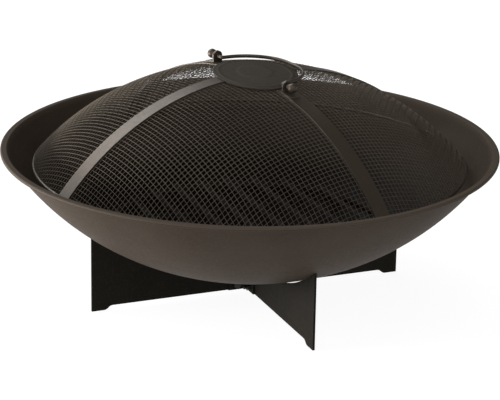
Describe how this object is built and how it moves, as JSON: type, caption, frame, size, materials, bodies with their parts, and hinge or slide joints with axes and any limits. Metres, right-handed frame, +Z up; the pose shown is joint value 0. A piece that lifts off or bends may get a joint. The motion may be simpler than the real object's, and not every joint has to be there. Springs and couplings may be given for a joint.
{
  "type": "fire pit with spark screen and grate",
  "caption": "Shallow steel fire bowl on a crossed-plate base, with a lift-off domed mesh spark screen, folding bail handle and round log grate.",
  "frame": {"origin": "on the ground under the middle of the bowl", "axes": "+Z up; +X and +Y along the two base plates; the handle is folded towards +X"},
  "size_m": [0.7627, 0.7628, 0.3662],
  "materials": {
    "bowl_paint": "matte heat-resistant dark bronze paint",
    "base_paint": "matte black paint",
    "screen_paint": "satin heat-resistant dark bronze paint",
    "mesh_wire": "satin heat-resistant paint on woven wire",
    "grate_steel": "matte black heat-resistant paint on steel rod",
    "fastener_steel": "black oxide"
  },
  "bodies": {
    "base": {"base_plate_long_way": "base_paint", "base_plate_cross_way": "base_paint", "corner_bracket_front": "base_paint", "corner_bracket_back": "base_paint", "bracket_bolts": "fastener_steel", "bracket_nuts": "fastener_steel"},
    "bowl": {"fire_bowl": "bowl_paint"},
    "grate": {"grate_ring": "grate_steel", "grate_bars": "grate_steel", "grate_cross_bars": "grate_steel"},
    "screen": {"screen_mesh": "mesh_wire", "screen_hoop": "screen_paint", "strap_right": "screen_paint", "strap_back": "screen_paint", "strap_left": "screen_paint", "strap_front": "screen_paint", "top_plate": "screen_paint", "handle_lug_front": "screen_paint", "handle_lug_back": "screen_paint"},
    "handle": {"handle_bail": "screen_paint", "ball_knob_front": "screen_paint", "ball_knob_back": "screen_paint", "handle_washers": "fastener_steel"}
  },
  "joints": [
    {"name": "bowl_lift", "type": "slide", "parent": "base", "child": "bowl", "axis": [0, 0, 1], "range_m": [0, 0.12]},
    {"name": "grate_lift", "type": "slide", "parent": "bowl", "child": "grate", "axis": [0, 0, 1], "range_m": [0, 0.18]},
    {"name": "screen_lift", "type": "slide", "parent": "bowl", "child": "screen", "axis": [0, 0, 1], "range_m": [0, 0.3]},
    {"name": "handle_swing", "type": "hinge", "parent": "screen", "child": "handle", "pos_m": [0, 0, 0.3582], "axis": [0.1822, -0.9833, 0], "range_deg": [0, 180]}
  ]
}
